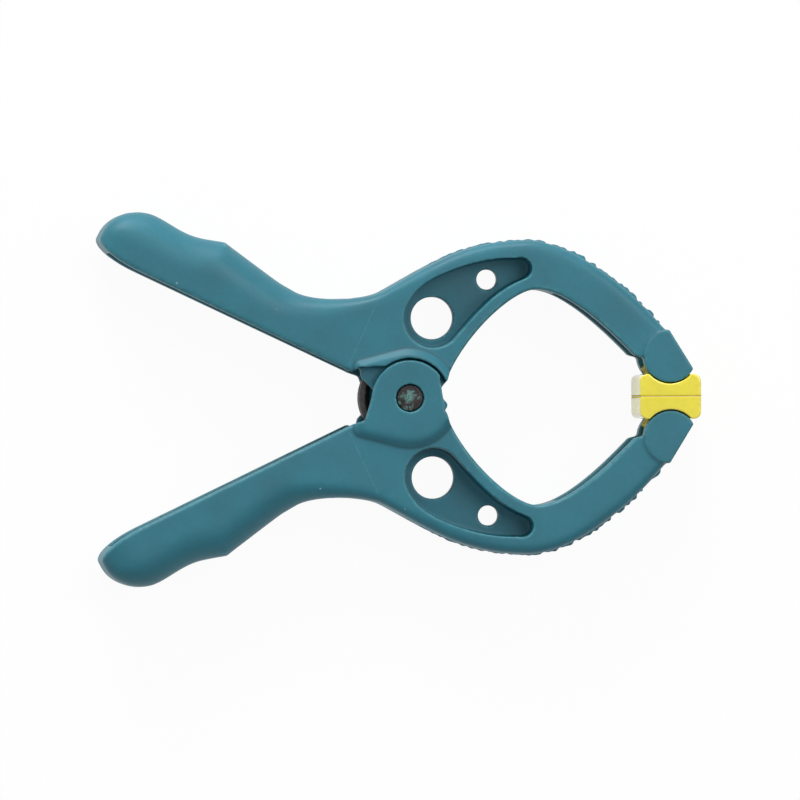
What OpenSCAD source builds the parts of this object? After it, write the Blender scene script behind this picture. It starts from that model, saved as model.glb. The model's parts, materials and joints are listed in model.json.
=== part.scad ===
// Spring clamp lying on its side: two equal levers on one pin, a torsion spring between
// the handles and a swivelling pad in the fork of each jaw.
// The jaws point along +X, the pivot axis runs along Z and the clamp lies on Z = 0.
// The lower lever is the upper lever turned half a turn about the length of the clamp.

/* [Pivot] */
// Diameter of the pivot pin
pin_d = 5; // [4:0.1:5.6]
// Clearance of the pin in its bores, on the radius
pin_clearance = 0.05; // [0.02:0.01:0.15]
// Depth of each end of the pin below its cheek
pin_recess = 0.25; // [0:0.05:0.6]
// Radius of the outer cheek round the pin
cheek_r = 6.9; // [6.2:0.1:7.4]
// Thickness of the outer cheek
cheek_t = 2.3; // [1.8:0.1:3.2]
// Thickness of the inner ear
ear_t = 1.95; // [1.5:0.05:3]
// Running gap between the cheek of one lever and the ear of the other
side_gap = 0.2; // [0.1:0.05:0.4]
// Depth by which the cheek is cut back on the side of the throat
cheek_flat = 0.85; // [0.4:0.05:1.2]
// Gap round the cheek in the recess of the other lever
recess_gap = 0.4; // [0.3:0.05:0.7]
// Wall of the hub round the pin
hub_wall = 1.5; // [1:0.1:1.8]
// Gap between the ends of the two hubs
hub_gap = 0.3; // [0.2:0.1:1]
// Rise of the boss above the flat side of the arm
boss_rise = 1; // [0.4:0.1:1.4]
// Flat rim of the boss round the recess
boss_rim = 0.6; // [0.3:0.1:1]
// Width of the ramp from the boss down to the arm
boss_ramp = 1.2; // [0.6:0.1:1.6]
// Distance from the axis to where the neck of the cheek meets the handle
neck_reach = 11.2; // [10.4:0.1:12]
// Height of the recess above the axis, where the other neck swings in
stop_h = 5.8; // [5:0.1:6.4]

/* [Spring] */
// Diameter of the spring wire
wire_d = 2; // [1.4:0.1:2.4]
// Mean radius of the coil
coil_r = 6.6; // [6.2:0.1:7]
// Full turns of the coil, without the part turn between the legs
coil_turns = 2; // [1:1:3]
// Gap between neighbouring turns
coil_gap = 0.46; // [0.42:0.02:0.8]
// Side play of the coil between the ears
coil_play = 0.16; // [0.1:0.02:0.4]
// Radial gap between the coil and the hub that it bears on
coil_seat_gap = 0.3; // [0.2:0.05:0.5]
// Room round the coil in its chamber
coil_room = 1; // [0.6:0.1:1.3]
// Length of each leg of the spring
leg_len = 22; // [18:0.5:24]
// Gap between a leg and the wall that it pushes on
leg_seat_gap = 0.1; // [0.05:0.05:0.3]

/* [Handle] */
// Angle between each handle and the length of the clamp
handle_angle = 25.6; // [24.5:0.1:28]
// Distance from the axis to the end of the handle
handle_len = 63.6; // [58:0.2:75]
// Distance by which the inner edge of the handle lies past the axis
handle_lap = 0.2; // [0:0.05:0.3]
// Width of the handle at its waist
waist_h = 8.85; // [8.2:0.05:10]
// Distance from the axis to the waist
waist_at = 28; // [26:0.5:30]
// Width of the handle at the finger knuckle
knuckle_h = 11.45; // [10.4:0.05:13]
// Distance from the end of the handle to the knuckle
knuckle_in = 21.2; // [19:0.2:23]
// Width of the handle in the groove
groove_h = 9.92; // [9:0.02:10.8]
// Distance from the end of the handle to the groove
groove_in = 14.1; // [12.5:0.1:16]
// Width of the handle at the end bulb
bulb_h = 10.4; // [10:0.05:12]
// Distance from the end of the handle to the top of the bulb
bulb_in = 7.4; // [6:0.2:9]
// Rounding of the outer edges of the handle
handle_round = 5.6; // [4:0.1:6.2]
// Thickness of the side walls of the handle
handle_wall = 2.4; // [1.8:0.1:3]
// Thickness of the outer wall of the handle
back_wall = 2.5; // [1.8:0.1:2.9]
// Thickness of the closed end of the handle
end_wall = 3; // [2:0.2:6]

/* [Jaw] */
// Distance from the axis to the trunnion, along the clamp
jaw_reach = 47.85; // [44:0.05:54]
// Height of the trunnion above the clamping plane
trunnion_h = 7.4; // [6.8:0.1:8.4]
// Diameter of the trunnion bar in the fork
trunnion_d = 2.8; // [2.2:0.1:3]
// Radius of the round end of the jaw
tip_r = 4.85; // [4.4:0.05:5.2]
// Rise of the round end above the flat side of the arm
tip_rise = 0.3; // [0.1:0.05:0.45]
// Width of the slot in the fork and of the channel behind it
slot_w = 7.9; // [6.5:0.1:9]
// Distance from the axis to the highest point of the arm, along the clamp
peak_at = 20; // [18:0.5:22]
// Height of the arm at its highest point
peak_h = 28.6; // [27.4:0.1:31]
// Distance from the axis to the roof of the throat, along the clamp
throat_at = 23.4; // [22:0.2:25]
// Height of the roof of the throat
throat_h = 19.75; // [18.5:0.05:20.5]
// Rounding of the outer edges of the arm
arm_round = 1.6; // [0.8:0.1:2.2]
// Rounding of the inner edges of the arm and handle
inner_round = 0.4; // [0.2:0.05:0.6]
// Outer wall of the channel in the jaw
jaw_wall = 2.8; // [2:0.1:3.6]
// Width of the rim between the pocket and the throat
pocket_rim = 2.25; // [2:0.05:3]
// Width of the rim between the pocket and the outer edge, at the wide end
pocket_back_rim = 2.4; // [2.2:0.05:3]
// Width of the rim between the pocket and the outer edge, at the narrow end
pocket_tip_rim = 3.1; // [2.6:0.05:3.4]
// Radius of the wide end of the pocket
pocket_r = 5.4; // [4.8:0.1:5.8]
// Thickness of the web in the pocket
web_t = 3.5; // [2:0.1:5]
// Diameter of the hanging hole in the web
hole_d = 7.8; // [6:0.1:8.6]
// Distance from the axis to the hanging hole, along the clamp
hole_at = 4.7; // [4.2:0.1:5.2]
// Drop of the hanging hole below the highest point of the arm
hole_drop = 14; // [13.6:0.1:14.6]
// Diameter of the small hole in the web
small_hole_d = 3.8; // [2.5:0.1:4.4]
// Distance from the axis to the small hole, along the clamp
small_hole_at = 14.8; // [13.8:0.1:15.6]
// Drop of the small hole below the highest point of the arm
small_hole_drop = 7; // [6.4:0.1:7.6]

/* [Pads] */
// Length of a pad along the clamp, in the middle of its depth
pad_len = 12.95; // [12:0.05:14.5]
// Depth by which each end of a pad falls back towards its sides
pad_crown = 0.9; // [0.2:0.1:1.2]
// Height of the ears of a pad above its clamping face
pad_ear_h = 4.1; // [3.4:0.1:4.4]
// Overhang of a pad past the round end of the jaw, on each side
pad_overhang = 0.2; // [0:0.05:0.6]
// Gap between each clamping face and the clamping plane
pad_gap = 0.02; // [0.01:0.01:0.2]
// Gap between a pad and the round end in its hollow
hollow_gap = 0.2; // [0.1:0.05:0.3]
// Rounding of the corners of a pad
pad_round = 1.3; // [0.5:0.1:1.6]
// Clearance of the clip on its trunnion, on the radius
clip_clearance = 0.08; // [0.03:0.01:0.2]
// Wall of the clip round the trunnion
clip_wall = 1; // [0.7:0.05:1.2]
// Height of the clip's two arms above the middle of the trunnion
clip_arm = 0.5; // [0.3:0.1:0.9]
// Gap between the tongue of a pad and the sides of the slot
tongue_gap = 0.2; // [0.1:0.05:0.4]

/* [Hidden] */
$fn = 72;

// Colours of the finishes
teal = [0.25, 0.47, 0.53];
yellow = [0.91, 0.86, 0.31];
steel = [0.35, 0.36, 0.36];
dark_steel = [0.2, 0.2, 0.21];

// A length that carries a cut past the surface that it opens
over = 1;
// A length by which a web is sunk into the round piece that it joins
sink = 0.2;

// The stack along the pivot, counted from the middle plane: coil, ear, gap and cheek
wire_r = wire_d / 2;
leg_turn = 90 - handle_angle;
coil_sweep = 360 * coil_turns + 2 * leg_turn;
pitch = wire_d + coil_gap;
coil_half = pitch * coil_sweep / 720;
chamber_half = coil_half + wire_r + coil_play;
ear_top = chamber_half + ear_t;
cheek_floor = ear_top + side_gap;
boss_half = cheek_floor + cheek_t;
arm_half = boss_half - boss_rise;

// Radii about the pivot axis
bore_r = pin_d / 2 + pin_clearance;
hub_r = pin_d / 2 + hub_wall;
recess_r = cheek_r + recess_gap;
boss_r = recess_r + boss_rim;
cheek_lean = 8;
coil_x = -(coil_r - wire_r - hub_r - coil_seat_gap);
chamber_r = coil_r + wire_r + coil_room;

// Places along the handle, measured from the axis
knuckle_at = handle_len - knuckle_in;
groove_at = handle_len - groove_in;
bulb_at = handle_len - bulb_in;
// Length and drop of the rounded end, on the outer edge, the inner edge and the sides
end_drop = 6.6;
end_power = 1.8;
end_inner_run = 9;
end_inner_drop = 2.6;
end_side_run = 5;
end_side_drop = 2.4;

// Where a leg of the spring runs in the handle, and the wall that it pushes on
leg_v = coil_r + coil_x * sin(handle_angle);
leg_end_u = leg_len - coil_x * cos(handle_angle);
seat_v = leg_v + wire_r + leg_seat_gap;

// A point of the handle: u runs out along its inner edge, v out from that edge
function handle_point(u, v) = [
  -u * cos(handle_angle) + v * sin(handle_angle),
  u * sin(handle_angle) + v * cos(handle_angle)
];

function polar(r, a) = [r * cos(a), r * sin(a)];

function bezier(p, t) =
  pow(1 - t, 3) * p[0] + 3 * pow(1 - t, 2) * t * p[1]
  + 3 * (1 - t) * t * t * p[2] + pow(t, 3) * p[3];

// A curve that leaves its first point in one direction, arrives at its last point in
// another, and is pulled along those directions
function curve(from, to, leave, leave_pull, arrive, arrive_pull) =
  [from, from + polar(leave_pull, leave), to - polar(arrive_pull, arrive), to];

function reverse(list) = [for (i = [len(list) - 1 : -1 : 0]) list[i]];

// Soft step from a to b as u goes from u0 to u1
function ease(u, u0, a, u1, b) = a + (b - a) * (1 - cos(180 * (u - u0) / (u1 - u0))) / 2;

// Straight rise from the corner at u1 that settles to level at u0, over a share of its length
function ramp(u, u0, a, u1, b, settle) =
  let (t = (u - u0) / (u1 - u0), run = t < settle ? t * t / (2 * settle) : t - settle / 2)
  a + (b - a) * run / (1 - settle / 2);

// Quarter round: 0 until run before the end, then down to 1 at the end
function end_round(u, run, power = 2) =
  let (x = max(0, (u - (handle_len - run)) / run)) 1 - pow(max(0, 1 - pow(x, power)), 1 / power);

// Outer edge of the handle: waist, knuckle with its corner, groove, bulb and rounded end
waist_settle = 0.2;
groove_settle = 0.5;
function handle_outer(u) =
  u < knuckle_at ? ramp(u, waist_at, waist_h, knuckle_at, knuckle_h, waist_settle) :
  u < groove_at ? ramp(u, groove_at, groove_h, knuckle_at, knuckle_h, groove_settle) :
  u < bulb_at ? ease(u, groove_at, groove_h, bulb_at, bulb_h) :
  bulb_h - end_drop * end_round(u, bulb_in, end_power);

function handle_inner(u) = -handle_lap + end_inner_drop * end_round(u, end_inner_run);

// The handle flares from the arm's depth at the neck to the boss's depth near its end
flare_end = handle_len - end_side_run;
function handle_half(u) =
  arm_half + boss_rise * min(1, max(0, (u - neck_reach) / (flare_end - neck_reach)))
  - end_side_drop * end_round(u, end_side_run);

// Where the shoulder, the tip, the foot of the throat and its end lie
shoulder_x = -4.4;
shoulder_drop = 9;
tip_ahead = 4.05;
tip_below = 2.6;
tip_lean = -66;
tip_cut_lean = -58.5;
foot_rim = 1.4;
foot_turn = 32;
throat_end_back = 6.55;
throat_end_up = 0.2;
waist_point = handle_point(waist_at, waist_h);
shoulder_point = [shoulder_x, peak_h - shoulder_drop];
peak_point = [peak_at, peak_h];
trunnion_point = [jaw_reach, trunnion_h];
tip_point = trunnion_point + [tip_ahead, -tip_below];
throat_foot = polar(recess_r + foot_rim, foot_turn);
throat_roof = [throat_at, throat_h];
throat_end = trunnion_point + [-throat_end_back, throat_end_up];

// Edges of the body, from the waist over the shoulder to the tip, and round the throat
shoulder_edge = curve(
  waist_point, shoulder_point,
  leave = -43, leave_pull = 4.2, arrive = 34, arrive_pull = 2.9
);
rise_edge = curve(
  shoulder_point, peak_point,
  leave = 29, leave_pull = 9.6, arrive = 1.6, arrive_pull = 10
);
fall_edge = curve(
  peak_point, tip_point,
  leave = 9, leave_pull = 11, arrive = tip_lean, arrive_pull = 10.4
);
throat_rise = curve(
  throat_foot, throat_roof,
  leave = 64, leave_pull = 9, arrive = 0, arrive_pull = 3.9
);
throat_fall = curve(
  throat_roof, throat_end,
  leave = 0, leave_pull = 5.5, arrive = -46, arrive_pull = 7.3
);
// Share of the rising outer edge that lies over the pivot
pivot_share = 0.42;

// Inner edge of the body over the pivot, from the neck to the foot of the throat
ridge_x = -9;
ridge_drop = 0.1;
lip_turn = 22;
neck_point = handle_point(neck_reach, -handle_lap);
ridge_point = [ridge_x, stop_h - ridge_drop];
pivot_edge = concat(
  [ridge_point],
  [for (x = [-5.5, -1, 3.5]) [x, stop_h]],
  [polar(recess_r, lip_turn)]
);

// Stations of the body: outer point, inner point, half depth, outer and inner rounding
function handle_station(u) = [
  handle_point(u, handle_outer(u)),
  handle_point(u, handle_inner(u)),
  handle_half(u), handle_round, inner_round
];

// The channel and the shoulder stop short of the neck by this much
neck_land = 0.3;
function shoulder_station(t) =
  let (u = waist_at + (neck_reach + neck_land - waist_at) * t)
  [
    bezier(shoulder_edge, t),
    handle_point(u, -handle_lap),
    handle_half(u), handle_round + (arm_round - handle_round) * sqrt(t), inner_round
  ];

function arm_station(outer, inner) = [outer, inner, arm_half, arm_round, inner_round];

end_steps = [0, 0.12, 0.5, 1.2, 2.2, 3.4];
grip_steps = 12;
waist_steps = 9;
shoulder_steps = 10;
throat_steps = 12;
jaw_steps = 18;
handle_from = handle_len - end_side_run;
stations = concat(
  [for (s = end_steps) handle_station(handle_len - s)],
  [for (i = [0 : grip_steps - 1])
    handle_station(handle_from + (knuckle_at - handle_from) * i / grip_steps)],
  [for (i = [0 : waist_steps - 1])
    handle_station(knuckle_at + (waist_at - knuckle_at) * i / waist_steps)],
  [for (i = [0 : shoulder_steps]) shoulder_station(i / shoulder_steps)],
  [for (i = [0 : len(pivot_edge) - 1])
    arm_station(bezier(rise_edge, pivot_share * (i + 1) / (len(pivot_edge) + 1)), pivot_edge[i])],
  [for (i = [0 : throat_steps - 1])
    arm_station(
      bezier(rise_edge, pivot_share + (1 - pivot_share) * i / throat_steps),
      bezier(throat_rise, i / throat_steps)
    )],
  [for (i = [0 : jaw_steps])
    arm_station(bezier(fall_edge, i / jaw_steps), bezier(throat_fall, i / jaw_steps))]
);

// Half the overall length lies between the end of the handle and the end of the pad
pad_end_x = jaw_reach + pad_len / 2;
handle_end_x = min([for (s = stations) s[1][0]]);
pivot_x = -(pad_end_x + handle_end_x) / 2;

// Points of a rounded corner, from 0 to 90 degrees, and the most of the section's width
// and half depth that an outer corner may take, and of its width for an inner corner
inner_corner = [0 : 45 : 90];
outer_corner = [0 : 15 : 90];
corner_share_w = 0.56;
corner_share_in = 0.4;
corner_share_h = 0.9;

// Section of the body: a flat bar with rounded edges, as points [width, depth]
function bar_front(w, h, ro, ri) = concat(
  [for (a = inner_corner) [ri * (1 - cos(a)), h - ri * (1 - sin(a))]],
  [for (a = outer_corner) [w - ro * (1 - sin(a)), h - ro * (1 - cos(a))]]
);

function station_ring(s) =
  let (
    span = s[0] - s[1],
    w = norm(span),
    along = span / w,
    ro = min(s[3], corner_share_w * w, corner_share_h * s[2]),
    ri = min(s[4], corner_share_in * w),
    front = bar_front(w, s[2], ro, ri),
    loop = concat(front, [for (p = reverse(front)) [p[0], -p[1]]])
  )
  [for (p = loop) [s[1][0] + along[0] * p[0], s[1][1] + along[1] * p[0], p[1]]];

// A solid through rings of equally many points, closed at both ends
module loft(rings) {
  n = len(rings);
  m = len(rings[0]);
  sides = [for (i = [0 : n - 2], j = [0 : m - 1], half = [0, 1])
    let (a = i * m + j, b = i * m + (j + 1) % m, c = a + m, d = b + m)
    half == 0 ? [a, b, d] : [a, d, c]];
  first = [for (j = [1 : m - 2]) [0, j + 1, j]];
  last = [for (j = [1 : m - 2]) [(n - 1) * m, (n - 1) * m + j, (n - 1) * m + j + 1]];
  polyhedron([for (r = rings, p = r) p], concat(first, last, sides));
}

// A prism over a plan outline, between two heights
module prism(outline, z0, z1) {
  translate([0, 0, z0])
    linear_extrude(z1 - z0)
      polygon(outline);
}

// A round bar along Z, between two heights
module bar(at, r, z0, z1) {
  translate([at[0], at[1], z0])
    cylinder(r = r, h = z1 - z0);
}

// The raised boss with its ramp, drawn out to a narrow ridge at the neck
ridge_r = 0.2;
ridge_foot_r = 1.3;
module boss() {
  foot = arm_half - boss_rise;
  hull() {
    bar([0, 0], boss_r + boss_ramp, foot, arm_half);
    bar([0, 0], boss_r, foot, boss_half);
    bar(ridge_point, ridge_foot_r, foot, arm_half);
    bar(ridge_point, ridge_r, foot, boss_half);
  }
}

// Plan of the body round the pivot, which bounds the boss
body_plan = concat(
  [for (s = stations) s[1]],
  reverse([for (s = stations) s[0]])
);

// Plan of the neck that carries the outer cheek, from the cheek round by the handle,
// the foot of the throat and the flat side of the cheek
neck_turn = 192;
neck_corner_in = 2.05;
neck_corner_turn = -0.6;
neck_rise = 4;
neck_foot_back = 0.8;
flat_bulge = 0.35;
flat_bulge_h = 2.2;
neck_plan = [
  polar(cheek_r - sink, neck_turn),
  polar(neck_reach - neck_corner_in, 180 - handle_angle + neck_corner_turn),
  neck_point,
  [neck_point[0], stop_h + neck_rise],
  [throat_foot[0] - neck_foot_back, stop_h + neck_rise],
  throat_foot,
  [cheek_r - cheek_flat + flat_bulge, flat_bulge_h],
  [cheek_r - cheek_flat, 0],
];

// Outer cheek round the pin, cut flat on the side of the throat
module cheek() {
  difference() {
    bar([0, 0], cheek_r, -boss_half, -cheek_floor);
    translate([cheek_r - cheek_flat, 0, -boss_half - over])
      rotate(-cheek_lean)
        translate([0, -2 * cheek_r, 0])
          cube([cheek_r, 4 * cheek_r, cheek_t + 2 * over]);
  }
}

// Plan of the ear that carries the hub, from the hub round by the handle and the throat
ear_turn = 222;
ear_corner_in = 1.65;
ear_corner_turn = 1.8;
ear_rise = 1;
ear_lip_turn = 23;
ear_end_turn = -38;
ear_plan = [
  polar(hub_r - sink, ear_turn),
  polar(neck_reach - ear_corner_in, 180 - handle_angle + ear_corner_turn),
  ridge_point + [0, ear_rise],
  [throat_foot[0] - neck_foot_back, stop_h + ear_rise],
  polar(recess_r, ear_lip_turn),
  polar(hub_r - sink, ear_end_turn),
];

// Pocket beside the throat, wide round the hanging hole and narrow towards the jaw
hole_offset = [0.25, 0.1];
hole_point = [hole_at, peak_h - hole_drop];
small_hole_point = [small_hole_at, peak_h - small_hole_drop];
pocket_centre = hole_point - hole_offset;

function inset(from, to, d) = from + (to - from) / norm(to - from) * d;

// The point at distance d to the right of a curve, seen along it
function beside(c, t, d) =
  let (step = bezier(c, t + 0.01) - bezier(c, t - 0.01))
  bezier(c, t) + [step[1], -step[0]] / norm(step) * d;

// Shares of the two edges along which the rims run
rim_out = [0.36, 1];
rim_in = [0.28, 0.88];
rim_steps = 8;
// Directions from the middle of the wide end to where the rims start
rim_out_turn = 155;
rim_in_turn = -48;
rim_pull = 2.9;
rim_lean = 27;
pocket_outer = [for (i = [0 : rim_steps])
  let (
    part = i / rim_steps,
    rim = pocket_back_rim + (pocket_tip_rim - pocket_back_rim) * part
  )
  beside(rise_edge, rim_out[0] + (rim_out[1] - rim_out[0]) * part, rim)];
pocket_inner = [for (i = [0 : rim_steps])
  beside(throat_rise, rim_in[0] + (rim_in[1] - rim_in[0]) * i / rim_steps, -pocket_rim)];
// The wide end, the curve that leaves it towards the outer rim, and the round narrow end
pocket_wide = [for (i = [0 : 2 * rim_steps])
  let (turn = 360 + rim_in_turn + (rim_out_turn - 360 - rim_in_turn) * i / (2 * rim_steps))
  pocket_centre + polar(pocket_r, turn)];
pocket_rise = curve(
  pocket_wide[2 * rim_steps], pocket_outer[0],
  leave = rim_out_turn - 90, leave_pull = rim_pull, arrive = rim_lean, arrive_pull = rim_pull
);
pocket_ends = [pocket_outer[rim_steps], pocket_inner[rim_steps]];
end_centre = (pocket_ends[0] + pocket_ends[1]) / 2;
end_arm = pocket_ends[0] - end_centre;
end_turn = atan2(end_arm[1], end_arm[0]);
pocket_plan = concat(
  pocket_wide,
  [for (i = [1 : rim_steps - 1]) bezier(pocket_rise, i / rim_steps)],
  pocket_outer,
  [for (i = [1 : rim_steps - 1]) end_centre + polar(norm(end_arm), end_turn - 180 * i / rim_steps)],
  reverse(pocket_inner)
);
module pocket(z0, z1) {
  prism(pocket_plan, z0, z1);
}

// Channel that hollows the handle from its inner edge, with a seat for the spring's leg
channel_land = 0.6;
seat_len = 4;
relief_len = 3.9;
relief_depth = 2.8;
module handle_channel() {
  half = arm_half - handle_wall;
  channel_end = handle_len - end_wall;
  channel_start = neck_reach + channel_land;
  steps = 14;
  floor_edge = [for (i = [0 : steps])
    let (u = channel_end + (waist_at - channel_end) * i / steps)
    handle_point(u, handle_outer(u) - back_wall)];
  prism(
    concat(
      [handle_point(channel_end, -2 * over)],
      floor_edge,
      [
        handle_point(leg_end_u + over, seat_v),
        handle_point(leg_end_u - seat_len, seat_v),
        handle_point(channel_start + relief_len, seat_v + relief_depth),
        handle_point(channel_start, seat_v + relief_depth),
        handle_point(channel_start, -2 * over),
      ]
    ),
    -half, half
  );
}

// Slot for the spring's leg, from the coil's chamber into the handle's channel
leg_slot_from = 2.5;
module leg_slot() {
  u0 = leg_slot_from;
  u1 = neck_reach + over;
  prism(
    [
      handle_point(u1, seat_v),
      handle_point(u0, seat_v),
      handle_point(u0, -2 * over),
      handle_point(u1, -2 * over),
    ],
    -chamber_half, chamber_half
  );
}

// Channel that hollows the jaw from the throat, and runs into the fork
channel_from = 4;
module jaw_channel() {
  pairs = [for (i = [channel_from : jaw_steps])
    [bezier(fall_edge, i / jaw_steps), bezier(throat_fall, i / jaw_steps)]];
  prism(
    concat(
      [for (p = pairs) inset(p[0], p[1], jaw_wall)],
      reverse([for (p = pairs) inset(p[1], p[0], -2 * over)])
    ),
    -slot_w / 2, slot_w / 2
  );
}

// Round end of the jaw, cut off just outside the outer edge of the arm
tip_proud = 0.3;
module jaw_end() {
  half = arm_half + tip_rise;
  difference() {
    bar(trunnion_point, tip_r, -half, half);
    translate([tip_point[0], tip_point[1], -half - over])
      rotate(tip_cut_lean)
        translate([-4 * tip_r, tip_proud, 0])
          cube([8 * tip_r, 4 * tip_r, 2 * (half + over)]);
  }
}

// Outside of a lever: the lofted body with its bosses and the round end
module lever_form() {
  deep = boss_half + over;
  loft([for (s = stations) station_ring(s)]);
  intersection() {
    boss();
    prism(body_plan, 0, deep);
  }
  intersection() {
    mirror([0, 0, 1]) boss();
    prism(body_plan, -deep, 0);
  }
  jaw_end();
}

// The form with the channel and the fork of the jaw
module forked_form() {
  difference() {
    lever_form();
    jaw_channel();
    bar(trunnion_point, tip_r + hollow_gap, -slot_w / 2, slot_w / 2);
  }
}

// The forked form with the pockets and holes of the web
module webbed_form() {
  deep = boss_half + over;
  difference() {
    forked_form();
    pocket(web_t / 2, deep);
    pocket(-deep, -web_t / 2);
    bar(hole_point, hole_d / 2, -deep, deep);
    bar(small_hole_point, small_hole_d / 2, -deep, deep);
  }
}

// One lever, as the upper one stands: cheek at the back, recess and ear at the front
module lever() {
  deep = boss_half + over;
  difference() {
    union() {
      difference() {
        webbed_form();
        bar([0, 0], recess_r, ear_top, deep);
        bar([coil_x, 0], chamber_r, -chamber_half, chamber_half);
        handle_channel();
        leg_slot();
      }
      cheek();
      intersection() {
        prism(neck_plan, -boss_half, -cheek_floor);
        mirror([0, 0, 1]) boss();
      }
      bar([0, 0], hub_r, hub_gap / 2, ear_top);
      prism(ear_plan, chamber_half, ear_top);
      bar(trunnion_point, trunnion_d / 2, -slot_w / 2 - over, slot_w / 2 + over);
    }
    bar([0, 0], bore_r, -deep, deep);
  }
}

// Outline of a pad's block between two ends, with rounded ears
ear_steps = 4;
function pad_ring(x0, x1, z) =
  let (corner_y = pad_gap + pad_ear_h - pad_round)
  concat(
    [[x0, pad_gap, z], [x1, pad_gap, z]],
    [for (right = [true, false], i = [0 : ear_steps])
      let (
        a = (right ? 0 : 90) + 90 * i / ear_steps,
        x = right ? x1 - pad_round : x0 + pad_round
      )
      [x + pad_round * cos(a), corner_y + pad_round * sin(a), z]]
  );

// Block of a pad, whose ends fall back towards the sides
module pad_block(x0, x1, half) {
  side0 = x0 + pad_crown;
  side1 = x1 - pad_crown;
  loft([pad_ring(side0, side1, half), pad_ring(x0, x1, 0), pad_ring(side0, side1, -half)]);
}

// Tongue of a pad in the slot of the fork, inside the round that the fork leaves for it
module pad_tongue(x0, x1, half, ring_r) {
  ear_y = pad_gap + pad_ear_h;
  intersection() {
    prism(
      [
        [x0 + pad_round, pad_gap + over], [x0 + pad_round, ear_y],
        [jaw_reach - ring_r, trunnion_h], [jaw_reach + ring_r, trunnion_h],
        [x1 - pad_round, ear_y], [x1 - pad_round, pad_gap + over],
      ],
      -half, half
    );
    bar(trunnion_point, tip_r, -half, half);
  }
  bar(trunnion_point, ring_r, -half, half);
}

// One pad, as the upper one stands: clamping face down, clip round the trunnion
module pad() {
  half = arm_half + tip_rise + pad_overhang;
  tongue_half = slot_w / 2 - tongue_gap;
  clip_r = trunnion_d / 2 + clip_clearance;
  ring_r = clip_r + clip_wall;
  x0 = jaw_reach - pad_len / 2;
  x1 = jaw_reach + pad_len / 2;
  hollow_r = tip_r + hollow_gap;
  difference() {
    union() {
      pad_block(x0, x1, half);
      pad_tongue(x0, x1, tongue_half, ring_r);
    }
    bar(trunnion_point, hollow_r, tongue_half, half + over);
    bar(trunnion_point, hollow_r, -half - over, -tongue_half);
    bar(trunnion_point, clip_r, -half, half);
    translate([jaw_reach - 2 * ring_r, trunnion_h + clip_arm, -half])
      cube([4 * ring_r, 2 * ring_r, 2 * half]);
  }
}

// Middle line of the spring: lower leg, coil and upper leg
turn_steps = 24;
coil_steps = round(turn_steps * coil_sweep / 360);
function coil_point(i) =
  let (a = -leg_turn + coil_sweep * i / coil_steps)
  [coil_x + coil_r * cos(a), coil_r * sin(a), coil_half * (2 * i / coil_steps - 1)];
function leg_point(side, d) =
  let (a = side * leg_turn)
  [
    coil_x + coil_r * cos(a) - d * sin(leg_turn),
    coil_r * sin(a) + side * d * cos(leg_turn),
    side * coil_half
  ];
leg_steps = [1, 0.5, 0.1];
spring_line = concat(
  [for (s = leg_steps) leg_point(-1, leg_len * s)],
  [for (i = [0 : coil_steps]) coil_point(i)],
  reverse([for (s = leg_steps) leg_point(1, leg_len * s)])
);

// Least gap of the wire to itself, between points half a turn or more apart: from turn to
// turn of the coil, and from a leg to the coil, which both legs leave alike
half_turn = turn_steps / 2;
turn_gaps = [
  for (i = [0 : coil_steps - half_turn], j = [i + half_turn : coil_steps])
    norm(coil_point(j) - coil_point(i)) - wire_d
];
leg_gaps = [
  for (d = [wire_r : wire_r : leg_len], i = [half_turn : coil_steps])
    norm(coil_point(i) - leg_point(-1, d)) - wire_d
];
echo(turn_least_gap = min(turn_gaps), spring_least_gap = min(concat(turn_gaps, leg_gaps)));

// Ring of the wire at one point of its middle line
wire_sides = 8;
function wire_ring(line, i) =
  let (
    before = line[max(0, i - 1)],
    after = line[min(len(line) - 1, i + 1)],
    t = (after - before) / norm(after - before),
    side = [t[1], -t[0], 0] / norm([t[0], t[1]]),
    up = cross(side, t)
  )
  [for (k = [0 : wire_sides - 1])
    line[i] + wire_r * (side * cos(360 * k / wire_sides) + up * sin(360 * k / wire_sides))];

// Carries a piece from the pivot's own frame to the clamp's frame
module placed() {
  translate([pivot_x, 0, boss_half])
    children();
}

module upper_lever() {
  color(teal)
    placed() lever();
}

module lower_lever() {
  color(teal)
    placed() rotate([180, 0, 0]) lever();
}

module pivot_pin() {
  color(steel)
    placed() bar([0, 0], pin_d / 2, pin_recess - boss_half, boss_half - pin_recess);
}

module torsion_spring() {
  color(dark_steel)
    placed() loft([for (i = [0 : len(spring_line) - 1]) wire_ring(spring_line, i)]);
}

module upper_pad() {
  color(yellow)
    placed() pad();
}

module lower_pad() {
  color(yellow)
    placed() rotate([180, 0, 0]) pad();
}

upper_lever();
lower_lever();
pivot_pin();
torsion_spring();
upper_pad();
lower_pad();
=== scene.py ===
"""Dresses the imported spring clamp: moulded teal levers, yellow pads, a pin and a spring.

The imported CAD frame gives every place. Lengths are metres in the clamp's own frame, where
+X runs to the jaws, +Y to the upper lever and +Z up along the pivot pin.
"""

import json
import logging
import math
from collections.abc import Callable
from dataclasses import dataclass, field, replace
from enum import Enum
from typing import Any

import bmesh
import bpy
from mathutils import Matrix, Vector, noise
from mathutils.kdtree import KDTree

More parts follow.
